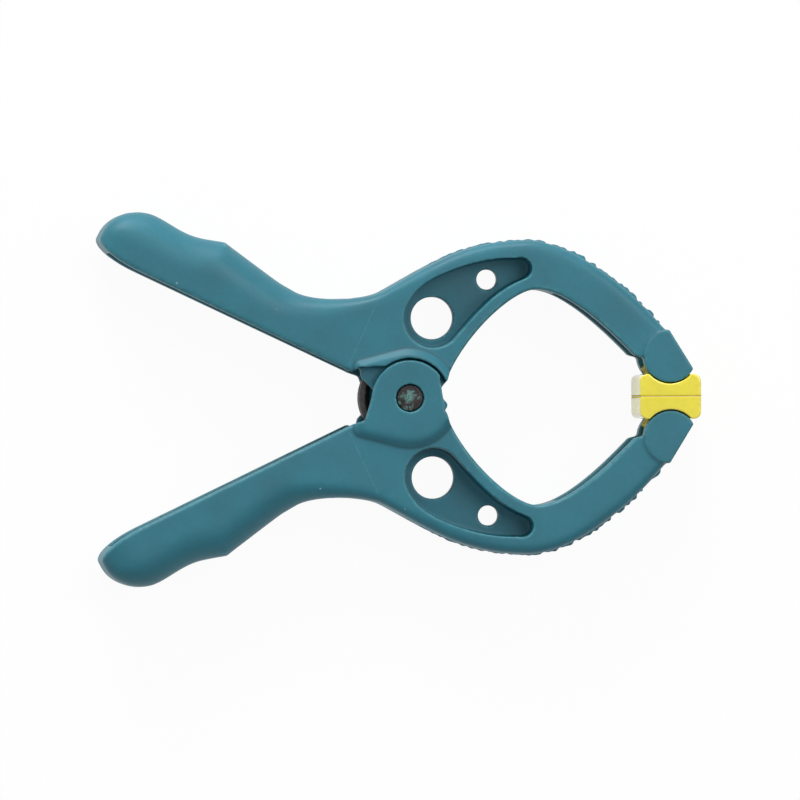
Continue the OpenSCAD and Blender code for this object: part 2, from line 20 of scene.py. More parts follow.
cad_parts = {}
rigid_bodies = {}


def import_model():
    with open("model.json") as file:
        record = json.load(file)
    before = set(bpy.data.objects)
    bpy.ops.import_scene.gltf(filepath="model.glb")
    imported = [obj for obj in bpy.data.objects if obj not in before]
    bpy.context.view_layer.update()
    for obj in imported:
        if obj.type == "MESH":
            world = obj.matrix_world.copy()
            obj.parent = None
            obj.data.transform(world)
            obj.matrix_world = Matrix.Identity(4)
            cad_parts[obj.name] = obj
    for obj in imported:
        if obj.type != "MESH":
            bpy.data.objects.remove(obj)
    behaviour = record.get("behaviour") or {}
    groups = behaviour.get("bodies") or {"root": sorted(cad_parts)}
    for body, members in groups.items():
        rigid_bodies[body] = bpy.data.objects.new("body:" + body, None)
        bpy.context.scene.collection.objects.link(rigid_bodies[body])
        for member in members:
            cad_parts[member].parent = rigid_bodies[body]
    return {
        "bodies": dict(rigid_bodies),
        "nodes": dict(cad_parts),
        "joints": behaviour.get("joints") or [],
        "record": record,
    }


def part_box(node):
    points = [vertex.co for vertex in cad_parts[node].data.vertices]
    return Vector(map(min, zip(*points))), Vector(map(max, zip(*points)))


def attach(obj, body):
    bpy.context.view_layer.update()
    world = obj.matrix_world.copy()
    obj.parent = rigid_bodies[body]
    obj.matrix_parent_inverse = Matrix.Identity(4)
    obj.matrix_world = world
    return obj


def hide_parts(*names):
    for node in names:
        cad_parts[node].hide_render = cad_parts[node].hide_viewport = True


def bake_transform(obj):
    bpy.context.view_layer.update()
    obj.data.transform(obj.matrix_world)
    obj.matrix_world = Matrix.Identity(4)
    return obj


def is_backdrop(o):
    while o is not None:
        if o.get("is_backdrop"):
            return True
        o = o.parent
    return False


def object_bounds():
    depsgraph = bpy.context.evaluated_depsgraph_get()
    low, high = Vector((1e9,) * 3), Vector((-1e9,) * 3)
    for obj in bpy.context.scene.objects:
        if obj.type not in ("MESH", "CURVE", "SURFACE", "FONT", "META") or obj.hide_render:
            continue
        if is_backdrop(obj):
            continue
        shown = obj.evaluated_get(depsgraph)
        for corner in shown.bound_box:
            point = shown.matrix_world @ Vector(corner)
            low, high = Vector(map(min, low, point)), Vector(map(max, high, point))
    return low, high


Colour = tuple[float, float, float]
Frame = dict[str, Any]
Socket = bpy.types.NodeSocket

MM = 0.001
MERGE_NEAR = 0.001 * MM
WHITE: Colour = (1.0, 1.0, 1.0)
LOG = logging.getLogger("spring_clamp")

# A point well off the clamp, for a search tree that would be empty
NOWHERE = (1.0, 1.0, 1.0)

# Places of the Mix node's colour sockets, since its other sockets have the same names
MIX_COLOUR_INPUTS = (0, 6, 7)
MIX_COLOUR_OUTPUT = 2


class Body(Enum):
    """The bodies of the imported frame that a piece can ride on."""

    LOWER_LEVER = "lower_lever"
    UPPER_LEVER = "upper_lever"
    LOWER_PAD = "lower_pad"
    UPPER_PAD = "upper_pad"


class Slot(Enum):
    """The record's material slots."""

    LEVER = "lever_plastic"
    PIN = "pin_steel"
    SPRING = "spring_steel"
    PAD = "pad_plastic"


class Side(Enum):
    """Which way the outer edge of a lever faces along Y."""

    UPPER = 1
    LOWER = -1


class Mask(Enum):
    """Vertex groups and attributes that follow the edges of a moulding."""

    SKIN = "skin"
    PARTING = "parting"
    RIM = "rim"
    CREASE = "crease"


def pick(obj: bpy.types.Object) -> None:
    """Deselects everything, then selects one object and makes it active.

    Args:
        obj: The object that the next operators act on.
    """
    bpy.ops.object.select_all(action="DESELECT")
    bpy.context.view_layer.objects.active = obj
    obj.select_set(True)


def apply_modifier(obj: bpy.types.Object, kind: str, **settings: Any) -> None:
    """Adds one modifier, sets it and applies it.

    Args:
        obj: The object that gets the modifier.
        kind: The modifier's type.
        settings: Values for the modifier's own properties.
    """
    pick(obj)
    modifier = obj.modifiers.new(kind.lower(), kind)
    for name, value in settings.items():
        setattr(modifier, name, value)
    bpy.ops.object.modifier_apply(modifier=modifier.name)


def merged_copy(name: str, node: bpy.types.Object) -> bpy.types.Object:
    """Copies a CAD node's mesh into a new object and merges its loose triangles.

    Args:
        name: Name of the new piece.
        node: The CAD node.

    Returns:
        The new object, at the origin.
    """
    piece = bpy.data.objects.new(name, node.data.copy())
    piece.data.name = name
    piece.data.materials.clear()
    bpy.context.scene.collection.objects.link(piece)
    pick(piece)
    bpy.ops.object.mode_set(mode="EDIT")
    bpy.ops.mesh.select_all(action="SELECT")
    bpy.ops.mesh.remove_doubles(threshold=MERGE_NEAR)
    bpy.ops.object.mode_set(mode="OBJECT")
    return piece


def triangles(obj: bpy.types.Object) -> int:
    """Counts the triangles of a mesh object."""
    return sum(len(face.vertices) - 2 for face in obj.data.polygons)


def weigh(
    obj: bpy.types.Object, mask: Mask, weight: Callable[[bpy.types.MeshVertex], float]
) -> str:
    """Fills a vertex group from a function of each vertex.

    Args:
        obj: The mesh object.
        mask: The group to make.
        weight: Gives a vertex its weight, from 0 to 1.

    Returns:
        The group's name, for a modifier.
    """
    group = obj.vertex_groups.new(name=mask.value)
    for vertex in obj.data.vertices:
        value = weight(vertex)
        if value > 0:
            group.add([vertex.index], value, "REPLACE")
    return group.name


def mark(
    obj: bpy.types.Object, mask: Mask, value: Callable[[bpy.types.MeshVertex], float]
) -> None:
    """Writes an attribute for the material from a function of each vertex.

    Args:
        obj: The finished mesh object.
        mask: The attribute to write, which may already be there.
        value: Gives a vertex its value, of which the larger one stays.
    """
    layer = obj.data.attributes.get(mask.value)
    if layer is None:
        layer = obj.data.attributes.new(mask.value, "FLOAT", "POINT")
    for vertex, item in zip(obj.data.vertices, layer.data):
        item.value = max(item.value, value(vertex))


def ramp(value: float, low: float, high: float) -> float:
    """Rises from 0 at low to 1 at high, or falls where low is the larger."""
    return min(1.0, max(0.0, (value - low) / (high - low)))


def tree_of(points: list[Vector]) -> KDTree:
    """Builds a search tree over points.

    Args:
        points: The points, of which there may be none.

    Returns:
        The balanced tree.
    """
    tree = KDTree(max(1, len(points)))
    for index, point in enumerate(points):
        tree.insert(point, index)
    if not points:
        tree.insert(NOWHERE, 0)
    tree.balance()
    return tree


@dataclass
class EdgeMap:
    """Where the sharp edges of a CAD solid run, to keep them crisp and to paint them: wear and
    a highlight on the rims, shade in the creases.
    """

    rims: KDTree
    creases: KDTree

    @classmethod
    def of(
        cls, obj: bpy.types.Object, sharp: Callable[[bmesh.types.BMEdge], bool], step: float
    ) -> "EdgeMap":
        """Finds the sharp edges of a merged CAD copy.

        Args:
            obj: The merged copy.
            sharp: Tells whether an edge counts as sharp.
            step: Spacing of the points along each sharp edge.

        Returns:
            The map, with the outward and the inward edges apart.
        """
        rims, creases = [], []
        mesh = bmesh.new()
        mesh.from_mesh(obj.data)
        for edge in mesh.edges:
            if not sharp(edge):
                continue
            start, end = (vertex.co.copy() for vertex in edge.verts)
            count = max(1, math.ceil((end - start).length / step))
            points = [start.lerp(end, i / count) for i in range(count + 1)]
            (rims if edge.is_convex else creases).extend(points)
        mesh.free()
        return cls(tree_of(rims), tree_of(creases))

    def distance(self, point: Vector) -> float:
        """Gives the distance from a point to the nearest sharp edge."""
        return min(self.rims.find(point)[2], self.creases.find(point)[2])

    def paint(self, obj: bpy.types.Object, reach: float) -> None:
        """Writes how near each vertex lies to a rim and to a crease as two attributes.

        Args:
            obj: The finished mesh object.
            reach: The distance at which an edge no longer shows.
        """
        for mask, tree in ((Mask.RIM, self.rims), (Mask.CREASE, self.creases)):
            mark(obj, mask, lambda v, tree=tree: ramp(tree.find(v.co)[2], reach, 0.0))


class NodeSheet:
    """Adds nodes to one node tree and joins their sockets."""

    def __init__(self, tree: bpy.types.NodeTree) -> None:
        """Starts with an empty tree."""
        self.tree = tree
        tree.nodes.clear()

    def feed(self, socket: Socket, value: Any) -> None:
        """Joins a socket to an output, or sets its value."""
        if isinstance(value, Socket):
            self.tree.links.new(value, socket)
        else:
            socket.default_value = value

    def add(self, kind: str, inputs: dict[str, Any], **options: Any) -> bpy.types.Node:
        """Adds one node.

        Args:
            kind: The node's type.
            inputs: Values or outputs for the node's inputs, by name.
            options: The node's own properties.

        Returns:
            The node.
        """
        node = self.tree.nodes.new(kind)
        for name, value in options.items():
            setattr(node, name, value)
        for name, value in inputs.items():
            self.feed(node.inputs[name], value)
        return node

    def fill(self, kind: str, values: tuple[Any, ...], **options: Any) -> bpy.types.Node:
        """Adds one node and feeds its inputs in their own order.

        Args:
            kind: The node's type.
            values: Values or outputs for the first inputs.
            options: The node's own properties.

        Returns:
            The node.
        """
        node = self.add(kind, {}, **options)
        for socket, value in zip(node.inputs, values):
            self.feed(socket, value)
        return node

    def sum_up(self, operation: str, *values: Any) -> Socket:
        """Adds a Math node for one to three numbers or outputs."""
        return self.fill("ShaderNodeMath", values, operation=operation).outputs["Value"]

    def vector_sum(self, operation: str, *values: Any) -> bpy.types.Node:
        """Adds a Vector Math node for one or two vectors or outputs."""
        return self.fill("ShaderNodeVectorMath", values, operation=operation)

    def blend_shaders(self, share: Socket, first: Socket, second: Socket) -> Socket:
        """Adds a Mix Shader node, where share is how much of the second one shows."""
        return self.fill("ShaderNodeMixShader", (share, first, second)).outputs["Shader"]

    def blend(self, share: Any, first: Any, second: Any) -> Socket:
        """Adds a Mix node for two colours.

        Args:
            share: How much of the second colour shows.
            first: The first colour.
            second: The second colour.

        Returns:
            The mixed colour's output.
        """
        node = self.add("ShaderNodeMix", {}, data_type="RGBA")
        for index, value in zip(MIX_COLOUR_INPUTS, (share, first, second)):
            self.feed(node.inputs[index], value)
        return node.outputs[MIX_COLOUR_OUTPUT]

    def attribute(self, mask: Mask) -> Socket:
        """Reads a mask that was written on the mesh."""
        return self.add("ShaderNodeAttribute", {}, attribute_name=mask.value).outputs["Fac"]

    def place(self) -> Socket:
        """Gives the place of a point in the piece's own frame."""
        return self.add("ShaderNodeTexCoord", {}).outputs["Object"]

    def noise(self, place: Socket, size: float, detail: float = 2.0) -> Socket:
        """Adds a Noise texture.

        Args:
            place: The coordinates.
            size: Size of the pattern, in metres.
            detail: Octaves of the pattern.

        Returns:
            The pattern's value.
        """
        inputs = {"Vector": place, "Scale": 1 / size, "Detail": detail}
        return self.add("ShaderNodeTexNoise", inputs).outputs["Fac"]

    def spread(
        self, value: Socket, low: Any, high: Any, start: float = 0.3, end: float = 0.7
    ) -> Socket:
        """Adds a Map Range node that takes a pattern to a range of its own.

        Args:
            value: The pattern.
            low: The result at start.
            high: The result at end.
            start: The pattern's value for low.
            end: The pattern's value for high.

        Returns:
            The mapped value.
        """
        inputs = {
            "Value": value,
            "From Min": start,
            "From Max": end,
            "To Min": low,
            "To Max": high,
        }
        return self.add("ShaderNodeMapRange", inputs).outputs["Result"]


def new_group(
    name: str, inputs: dict[str, str], outputs: dict[str, str]
) -> bpy.types.NodeTree:
    """Makes an empty shader node group with named sockets.

    Args:
        name: The group's name.
        inputs: Socket kind by input name.
        outputs: Socket kind by output name.

    Returns:
        The group.
    """
    group = bpy.data.node_groups.new(name, "ShaderNodeTree")
    for way, sockets in (("INPUT", inputs), ("OUTPUT", outputs)):
        for socket, kind in sockets.items():
            socket_type = "NodeSocket" + kind
            group.interface.new_socket(name=socket, in_out=way, socket_type=socket_type)
    return group


def rgba(colour: Colour) -> tuple[float, float, float, float]:
    """Adds a full alpha to a colour."""
    return (*colour, 1.0)


@dataclass(frozen=True)
class MouldedSurface:
    """Patterns of moulded plastic: mottle, wear and a painted highlight on rims, painted shade
    and roughness in creases, dust and grain.
    """

    cloud_size: float = 9 * MM
    pigment_size: float = 0.9 * MM
    pigment_tone: float = 0.03
    pigment_height: float = 0.8
    grain_size: float = 0.28 * MM
    rim_cover: tuple[float, float] = (0.15, 0.75)
    crease_rough: float = 0.65
    speck_cell: float = 2.6 * MM
    speck_share: float = 0.055
    speck_cover: float = 0.55
    speck_colour: Colour = (0.62, 0.72, 0.72)

    def group(self) -> bpy.types.NodeTree:
        """Builds the node group that the plastics share.

        Returns:
            The group, with a colour, a roughness and a height.
        """
        group = new_group(
            "moulded_surface",
            {
                "Colour": "Color",
                "Rubbed": "Color",
                "Dull": "Color",
                "Rim": "Float",
                "Crease": "Float",
                "Mottle": "Float",
                "Dust": "Float",
                "Rough Low": "Float",
                "Rough High": "Float",
            },
            {"Colour": "Color", "Roughness": "Float", "Height": "Float"},
        )
        sheet = NodeSheet(group)
        given = sheet.add("NodeGroupInput", {}).outputs
        place = sheet.place()

        clouds = sheet.noise(place, self.cloud_size, detail=3.0)
        pigment = sheet.noise(place, self.pigment_size, detail=2.0)
        grain = sheet.noise(place, self.grain_size, detail=1.0)

        tone = sheet.sum_up("MULTIPLY", sheet.spread(clouds, -1.0, 1.0), given["Mottle"])
        flecks = sheet.spread(pigment, -self.pigment_tone, self.pigment_tone)
        tone = sheet.sum_up("ADD", sheet.sum_up("ADD", tone, 1.0), flecks)
        value = sheet.add("ShaderNodeHueSaturation", {"Color": given["Colour"], "Value": tone})

        rim = sheet.sum_up("MULTIPLY", given["Rim"], sheet.spread(pigment, *self.rim_cover))
        # Rims take the wear-and-highlight colour: partly wear, partly a painted highlight
        # where a rounded edge catches the light.
        worn_and_highlit = sheet.blend(rim, value.outputs["Color"], given["Rubbed"])
        # Creases take a darker colour: painted shade where the light is blocked.
        dull = sheet.blend(given["Crease"], worn_and_highlit, given["Dull"])
        speck = self.specks(sheet, place, given["Dust"])
        dusty = sheet.blend(speck, dull, rgba(self.speck_colour))

        rough = sheet.spread(clouds, given["Rough Low"], given["Rough High"])
        dull_rough = sheet.sum_up("MULTIPLY", given["Crease"], self.crease_rough)
        rough = sheet.sum_up("MAXIMUM", rough, dull_rough)
        relief = sheet.sum_up("MULTIPLY", pigment, self.pigment_height)
        height = sheet.sum_up("ADD", grain, relief)
        outputs = {"Colour": dusty, "Roughness": rough, "Height": height}
        sheet.add("NodeGroupOutput", outputs)
        return group

    def specks(self, sheet: NodeSheet, place: Socket, dust: Socket) -> Socket:
        """Adds specks of dust in the middle of a few cells.

        Args:
            sheet: The group's nodes.
            place: The coordinates.
            dust: The share of the cells that hold a speck.

        Returns:
            How much of the dust's colour shows.
        """
        inputs = {"Vector": place, "Scale": 1 / self.speck_cell}
        cells = sheet.add("ShaderNodeTexVoronoi", inputs).outputs
        near = sheet.sum_up("LESS_THAN", cells["Distance"], self.speck_share)
        parts = sheet.add("ShaderNodeSeparateColor", {"Color": cells["Color"]})
        rare = sheet.sum_up("LESS_THAN", parts.outputs["Red"], dust)
        speck = sheet.sum_up("MULTIPLY", near, rare)
        return sheet.sum_up("MULTIPLY", speck, self.speck_cover)


@dataclass(frozen=True)
class OiledSteel:
    """Patterns of bare dark steel: blotched oxide, a low sheen and fine pitting."""

    blotch_size: float = 1.3 * MM
    pit_size: float = 0.22 * MM
    pit_tone: float = 0.12

    def group(self) -> bpy.types.NodeTree:
        """Builds the node group that the steels share.

        Returns:
            The group, with a colour, a roughness and a height.
        """
        group = new_group(
            "oiled_steel",
            {
                "Dark": "Color",
                "Light": "Color",
                "Rough Low": "Float",
                "Rough High": "Float",
            },
            {"Colour": "Color", "Roughness": "Float", "Height": "Float"},
        )
        sheet = NodeSheet(group)
        given = sheet.add("NodeGroupInput", {}).outputs
        place = sheet.place()
        blotch = sheet.noise(place, self.blotch_size, detail=4.0)
        pits = sheet.noise(place, self.pit_size, detail=2.0)
        pitted = sheet.spread(pits, -self.pit_tone, self.pit_tone)
        share = sheet.spread(sheet.sum_up("ADD", blotch, pitted), 0.0, 1.0)
        outputs = {
            "Colour": sheet.blend(share, given["Dark"], given["Light"]),
            "Roughness": sheet.spread(blotch, given["Rough Low"], given["Rough High"]),
            "Height": pits,
        }
        sheet.add("NodeGroupOutput", outputs)
        return group


def new_material(name: str) -> tuple[bpy.types.Material, NodeSheet]:
    """Makes an empty node material.

    Args:
        name: The material's name.

    Returns:
        The material and the sheet of its nodes.
    """
    material = bpy.data.materials.new(name)
    material.use_nodes = True
    return material, NodeSheet(material.node_tree)


def close_material(
    sheet: NodeSheet, surface: bpy.types.Node, relief: tuple[float, float], own: dict[str, Any]
) -> None:
    """Adds the bump, the shader and the output that every finish ends with.

    Args:
        sheet: The material's nodes.
        surface: The node of the finish's group.
        relief: The bump's strength and its depth.
        own: The finish's own values for the shader, by name.
    """
    bump = sheet.add(
        "ShaderNodeBump",
        {"Strength": relief[0], "Distance": relief[1], "Height": surface.outputs["Height"]},
    )
    shared = {"Roughness": surface.outputs["Roughness"], "Normal": bump.outputs["Normal"]}
    shader = sheet.add("ShaderNodeBsdfPrincipled", shared | own)
    sheet.add("ShaderNodeOutputMaterial", {"Surface": shader.outputs["BSDF"]})


@dataclass(frozen=True)
class MouldedPlastic:
    """A moulded plastic with wear and a painted highlight on its rims, painted shade in its
    creases and a fine grain, which may have a glossy coat.

    The coat stays off the creases, which are rougher and painted darker as shade.
    """

    name: str
    colour: Colour
    # Colour of the rims: partly wear, partly a painted highlight.
    rubbed: Colour
    # Colour of the creases: painted shade.
    dull: Colour
    roughness: tuple[float, float]
    specular: float
    mottle: float
    dust: float
    grain_depth: float
    grain_bump: float = 0.35
    subsurface: float = 0.0
    subsurface_radius: Colour = (1.0, 0.8, 0.2)
    subsurface_depth: float = 1.5 * MM
    coat: float = 0.0
    coat_rough: float = 0.06

    def rim_mask(self, sheet: NodeSheet) -> Socket:
        """Adds the mask of the rims, which get wear and a painted highlight."""
        return sheet.attribute(Mask.RIM)

    def material(self, group: bpy.types.NodeTree) -> bpy.types.Material:
        """Builds the material.

        Args:
            group: The shared group for moulded plastic.

        Returns:
            The material.
        """
        material, sheet = new_material(self.name)
        crease = sheet.attribute(Mask.CREASE)
        values = {
            "Colour": rgba(self.colour),
            "Rubbed": rgba(self.rubbed),
            "Dull": rgba(self.dull),
            "Rim": self.rim_mask(sheet),
            "Crease": crease,
            "Mottle": self.mottle,
            "Dust": self.dust,
            "Rough Low": self.roughness[0],
            "Rough High": self.roughness[1],
        }
        surface = sheet.add("ShaderNodeGroup", values, node_tree=group)
        own = {
            "Base Color": surface.outputs["Colour"],
            "Specular IOR Level": self.specular,
            "Subsurface Weight": self.subsurface,
            "Subsurface Radius": self.subsurface_radius,
            "Subsurface Scale": self.subsurface_depth,
        }
        if self.coat:
            own["Coat Weight"] = sheet.sum_up("MULTIPLY_ADD", crease, -self.coat, self.coat)
            own["Coat Roughness"] = self.coat_rough
        close_material(sheet, surface, (self.grain_bump, self.grain_depth), own)
        return material


@dataclass(frozen=True)
class LeverPlastic(MouldedPlastic):
    """The plastic of a lever, with a painted highlight line where the handle meets the jaw."""

    pivot: Vector = field(default_factory=Vector)
    # A painted highlight line across both side faces, where the handle meets the jaw.
    line_top: tuple[float, float] = (-5.9 * MM, 17.4 * MM)
    line_foot: tuple[float, float] = (-11.2 * MM, 6.0 * MM)
    line_half: float = 0.16 * MM
    line_share: float = 0.55

    def rim_mask(self, sheet: NodeSheet) -> Socket:
        """Adds the mask of the rims, which get wear and a painted highlight, and of a painted
        highlight line across both side faces.

        Args:
            sheet: The material's nodes.

        Returns:
            The mask.
        """
        top, foot = Vector(self.line_top), Vector(self.line_foot)
        way = (foot - top).normalized()
        split = sheet.add("ShaderNodeSeparateXYZ", {"Vector": sheet.place()}).outputs
        x = sheet.sum_up("SUBTRACT", split["X"], self.pivot.x + top.x)
        y = sheet.sum_up("SUBTRACT", sheet.sum_up("ABSOLUTE", split["Y"]), top.y)
        along = sheet.sum_up("MULTIPLY_ADD", x, way.x, sheet.sum_up("MULTIPLY", y, way.y))
        across = sheet.sum_up("MULTIPLY_ADD", x, -way.y, sheet.sum_up("MULTIPLY", y, way.x))
        off_line = sheet.sum_up("ABSOLUTE", across)
        line = sheet.spread(off_line, self.line_share, 0.0, 0.0, self.line_half)
        middle = (foot - top).length / 2
        off_middle = sheet.sum_up("ABSOLUTE", sheet.sum_up("SUBTRACT", along, middle))
        line = sheet.sum_up("MULTIPLY", line, sheet.sum_up("LESS_THAN", off_middle, middle))
        return sheet.sum_up("MAXIMUM", line, super().rim_mask(sheet))


@dataclass(frozen=True)
class ColourSpot:
    """A ragged spot of another colour on steel, which breaks up into flecks."""

    colour: Colour
    at: tuple[float, float, float]
    reach: float = 1.6 * MM
    core: float = 0.2
    cover: float = 0.85
    edge_size: float = 0.9 * MM
    edge_pull: tuple[float, float] = (0.4, 1.8)
    edge_band: tuple[float, float] = (0.35, 0.65)
    fleck_size: float = 0.22 * MM
    fleck_cover: tuple[float, float] = (0.15, 1.0)
    fleck_band: tuple[float, float] = (0.38, 0.58)

    def mask(self, sheet: NodeSheet) -> Socket:
        """Adds the mask of the spot.

        Args:
            sheet: The material's nodes.

        Returns:
            The mask.
        """
        place = sheet.place()
        offset = sheet.vector_sum("SUBTRACT", place, self.at).outputs["Vector"]
        far = sheet.vector_sum("LENGTH", offset).outputs["Value"]
        edge = sheet.noise(place, self.edge_size, detail=2.0)
        pull = sheet.spread(edge, *self.edge_pull, *self.edge_band)
        pulled = sheet.sum_up("MULTIPLY", far, pull)
        patch = sheet.spread(pulled, self.cover, 0.0, self.core * self.reach, self.reach)
        fleck = sheet.noise(place, self.fleck_size, detail=3.0)
        flecks = sheet.spread(fleck, *self.fleck_cover, *self.fleck_band)
        return sheet.sum_up("MULTIPLY", patch, flecks)


@dataclass(frozen=True)
class DarkSteel:
    """A dark steel, which may carry a spot of another colour."""

    name: str
    dark: Colour
    light: Colour
    roughness: tuple[float, float]
    metallic: float
    pit_depth: float
    pit_bump: float = 0.5
    smear: ColourSpot | None = None

    def material(self, group: bpy.types.NodeTree) -> bpy.types.Material:
        """Builds the material.

        Args:
            group: The shared group for dark steel.

        Returns:
            The material.
        """
        material, sheet = new_material(self.name)
        values = {
            "Dark": rgba(self.dark),
            "Light": rgba(self.light),
            "Rough Low": self.roughness[0],
            "Rough High": self.roughness[1],
        }
        surface = sheet.add("ShaderNodeGroup", values, node_tree=group)
        colour, metallic = surface.outputs["Colour"], self.metallic
        if self.smear is not None:
            spot = self.smear.mask(sheet)
            colour = sheet.blend(spot, colour, rgba(self.smear.colour))
            metallic = sheet.sum_up("MULTIPLY_ADD", spot, -self.metallic, self.metallic)
        own = {"Base Color": colour, "Metallic": metallic}
        close_material(sheet, surface, (self.pit_bump, self.pit_depth), own)
        return material


@dataclass
class Moulding:
    """A moulded piece that follows one CAD node, with its edges softened as by the mould."""

    node: str
    body: Body
    slot: Slot
    material: bpy.types.Material
    voxel: float
    soft_rounds: int = 4
    skin_rounds: int = 0
    smooth_share: float = 0.5
    sharp_deg: float = 24.0
    edge_step: float = 0.25 * MM
    crisp_near: float = 0.35 * MM
    crisp_far: float = 1.3 * MM
    wear_reach: float = 0.45 * MM
    most_triangles: int = 190_000

    def build(self, frame: Frame) -> bpy.types.Object:
        """Makes the finished piece and fastens it to its body.

        Args:
            frame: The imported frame.

        Returns:
            The piece.
        """
        piece = merged_copy(self.node + "_moulding", frame["nodes"][self.node])
        edges = EdgeMap.of(piece, self.is_sharp, self.edge_step)
        self.add_details(piece)
        apply_modifier(piece, "REMESH", mode="VOXEL", voxel_size=self.voxel)
        self.soften(piece, edges)
        self.add_flash(piece)
        count = triangles(piece)
        if count > self.most_triangles:
            apply_modifier(piece, "DECIMATE", ratio=self.most_triangles / count)
        pick(piece)
        bpy.ops.object.shade_smooth()
        piece.vertex_groups.clear()
        # These attributes carry the rims' wear and painted highlight and the creases' painted
        # shade.
        edges.paint(piece, self.wear_reach)
        self.add_marks(piece)
        piece.data.materials.append(self.material)
        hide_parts(self.node)
        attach(piece, self.body.value)
        return piece

    def is_sharp(self, edge: bmesh.types.BMEdge) -> bool:
        """Tells whether an edge of the CAD solid stays crisp."""
        return edge.calc_face_angle(0.0) >= math.radians(self.sharp_deg)

    def soften(self, piece: bpy.types.Object, edges: EdgeMap) -> None:
        """Smooths the open skin well and the edges a little.

        Args:
            piece: The remeshed piece.
            edges: Where the sharp edges run.
        """
        share = self.smooth_share
        if self.skin_rounds:
            skin = weigh(
                piece,
                Mask.SKIN,
                lambda v: ramp(edges.distance(v.co), self.crisp_near, self.crisp_far),
            )
            apply_modifier(
                piece, "SMOOTH", factor=share, iterations=self.skin_rounds, vertex_group=skin
            )
        apply_modifier(piece, "SMOOTH", factor=share, iterations=self.soft_rounds)

    def add_details(self, piece: bpy.types.Object) -> None:
        """Joins small moulded details before the remesh; a plain moulding has none."""

    def add_flash(self, piece: bpy.types.Object) -> None:
        """Raises the parting line; a plain moulding has none that shows."""

    def add_marks(self, piece: bpy.types.Object) -> None:
        """Paints what the edges don't give; a plain moulding has no such marks."""


@dataclass
class Lever(Moulding):
    """A lever, with flash along its outer parting line and a gate nub on its cheek."""

    side: Side = Side.UPPER
    pivot: Vector = field(default_factory=Vector)
    trunnion: Vector = field(default_factory=Vector)
    holes: list[Vector] = field(default_factory=list)
    ramp_deg: float = 70.0
    face_near: float = 0.05 * MM
    handle_flash: float = 0.05 * MM
    shoulder_flash: float = 0.28 * MM
    tip_flash: float = 0.8 * MM
    shoulder_x: tuple[float, float] = (-2 * MM, 8 * MM)
    tip_x: tuple[float, float] = (20 * MM, 32 * MM)
    flash_size: float = 1.1 * MM
    flash_half: float = 0.55 * MM
    flash_crest: float = 0.4
    flash_band: tuple[float, float] = (-0.7, 0.3)
    least_outward: float = 0.25
    pivot_room: float = 10.5 * MM
    hole_room: float = 4.6 * MM
    trunnion_room: float = 1.9 * MM
    nub_at: tuple[float, float] = (6.35 * MM, 1.3 * MM)
    nub_r: float = 0.75 * MM
    nub_depth: float = 1.6 * MM
    nub_sides: int = 24
    cheek_middle: float = 7.35 * MM

    def is_sharp(self, edge: bmesh.types.BMEdge) -> bool:
        """Tells whether an edge stays crisp, which the top of the boss's ramp doesn't.

        Args:
            edge: An edge of the merged copy.

        Returns:
            True for a crisp edge.
        """
        half = self.pivot.z
        on_boss = all(abs(abs(v.co.z - half) - half) < self.face_near for v in edge.verts)
        limit = self.ramp_deg if on_boss and edge.is_convex else self.sharp_deg
        return edge.calc_face_angle(0.0) >= math.radians(limit)

    def add_details(self, piece: bpy.types.Object) -> None:
        """Joins the gate nub to the flat side of the cheek.

        Args:
            piece: The merged copy of the lever.
        """
        side = self.side.value
        offset = Vector((self.nub_at[0], side * self.nub_at[1], -side * self.cheek_middle))
        bpy.ops.object.select_all(action="DESELECT")
        bpy.ops.mesh.primitive_cylinder_add(
            vertices=self.nub_sides,
            radius=self.nub_r,
            depth=self.nub_depth,
            location=self.pivot + offset,
        )
        nub = bpy.context.active_object
        nub.select_set(True)
        piece.select_set(True)
        bpy.context.view_layer.objects.active = piece
        bpy.ops.object.join()

    def add_flash(self, piece: bpy.types.Object) -> None:
        """Pushes the outer parting line out to a ragged edge.

        Args:
            piece: The softened lever.
        """
        line = weigh(piece, Mask.PARTING, self.parting_weight)
        apply_modifier(
            piece, "DISPLACE", strength=self.tip_flash, mid_level=0.0, vertex_group=line
        )

    def parting_weight(self, vertex: bpy.types.MeshVertex) -> float:
        """Weighs a vertex by how near it lies to the outer parting line.

        Args:
            vertex: A vertex of the softened lever.

        Returns:
            The weight, from 0 to 1.
        """
        offset = vertex.co - self.pivot
        outward = vertex.normal.y * self.side.value
        if abs(offset.z) > self.flash_half or outward < self.least_outward:
            return 0.0
        if offset.length < self.pivot_room:
            return 0.0
        if (vertex.co - self.trunnion).xy.length < self.trunnion_room:
            return 0.0
        if any((vertex.co - hole).length < self.hole_room for hole in self.holes):
            return 0.0
        height = self.handle_flash
        height += (self.shoulder_flash - height) * ramp(offset.x, *self.shoulder_x)
        height += (self.tip_flash - height) * ramp(offset.x, *self.tip_x)
        pattern = noise.noise(Vector((offset.x, offset.y, 0.0)) / self.flash_size)
        ragged = ramp(pattern, *self.flash_band)
        middle = ramp(abs(offset.z), self.flash_half, self.flash_crest * self.flash_half)
        return height / self.tip_flash * ragged * middle


@dataclass
class Pad(Moulding):
    """A swivelling pad, rougher and painted darker as shade on its clip and along the seam
    where the two pads meet.
    """

    seam_reach: float = 0.40 * MM
    seam_full: float = 0.18 * MM
    clip_from: float = 4.1 * MM
    clip_fade: float = 1.05

    def add_marks(self, piece: bpy.types.Object) -> None:
        """Paints shade into the clip, and into the clamping face with its edges, and makes
        them rougher.

        Args:
            piece: The finished pad.
        """
        clip_full = self.clip_fade * self.clip_from
        # Painted shade along the seam between the two pads and on the clip inside the fork
        # slot.
        mark(piece, Mask.CREASE, lambda v: ramp(abs(v.co.y), self.seam_reach, self.seam_full))
        mark(piece, Mask.CREASE, lambda v: ramp(abs(v.co.y), self.clip_from, clip_full))


